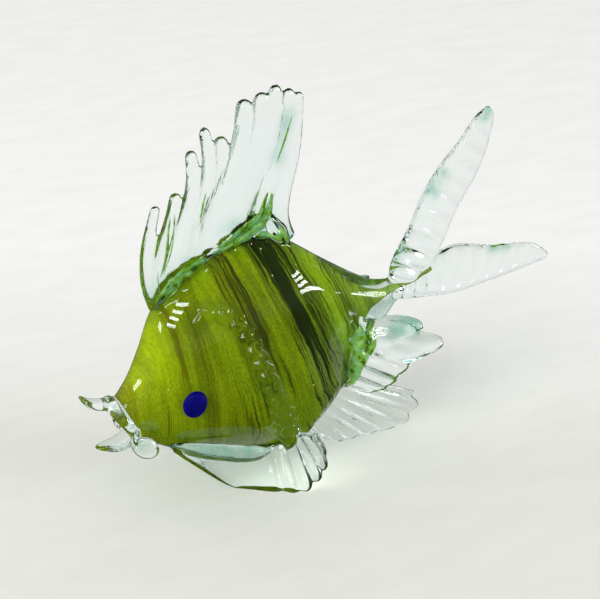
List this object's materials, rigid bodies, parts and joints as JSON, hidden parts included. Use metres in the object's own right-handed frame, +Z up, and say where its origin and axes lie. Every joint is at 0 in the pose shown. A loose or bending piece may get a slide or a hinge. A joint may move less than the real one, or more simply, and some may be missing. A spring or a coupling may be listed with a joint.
{
  "type": "glass fish figurine",
  "caption": "Hand-made art-glass fish with a streaked green core in clear glass, a tall fanned dorsal fin, a forked tail, crimped fins and blue eyes, standing on its fins.",
  "frame": {"origin": "on the ground under the middle of the fish, at the centre of the bounding box's bottom", "axes": "+X toward the tail, -X toward the mouth, -Y the fish's left side, which the picture shows, +Z up"},
  "size_m": [0.237, 0.0858, 0.1843],
  "materials": {
    "clear_glass": "fire-polished, clear with a faint teal tint",
    "streaked_glass": "opaque-looking yellow-green with dark green streaks, under clear glass",
    "blue_glass": "glossy deep blue"
  },
  "bodies": {
    "root": {"body_core": "streaked_glass", "body_casing": "clear_glass", "dorsal_fin": "clear_glass", "upper_tail_lobe": "clear_glass", "lower_tail_lobe": "clear_glass", "anal_fin": "clear_glass", "left_gill_band": "clear_glass", "right_gill_band": "clear_glass", "left_front_fin": "clear_glass", "right_front_fin": "clear_glass", "left_rear_fin": "clear_glass", "right_rear_fin": "clear_glass", "left_eye": "blue_glass", "right_eye": "blue_glass", "upper_lip": "clear_glass", "lower_lip": "clear_glass"}
  },
  "joints": []
}
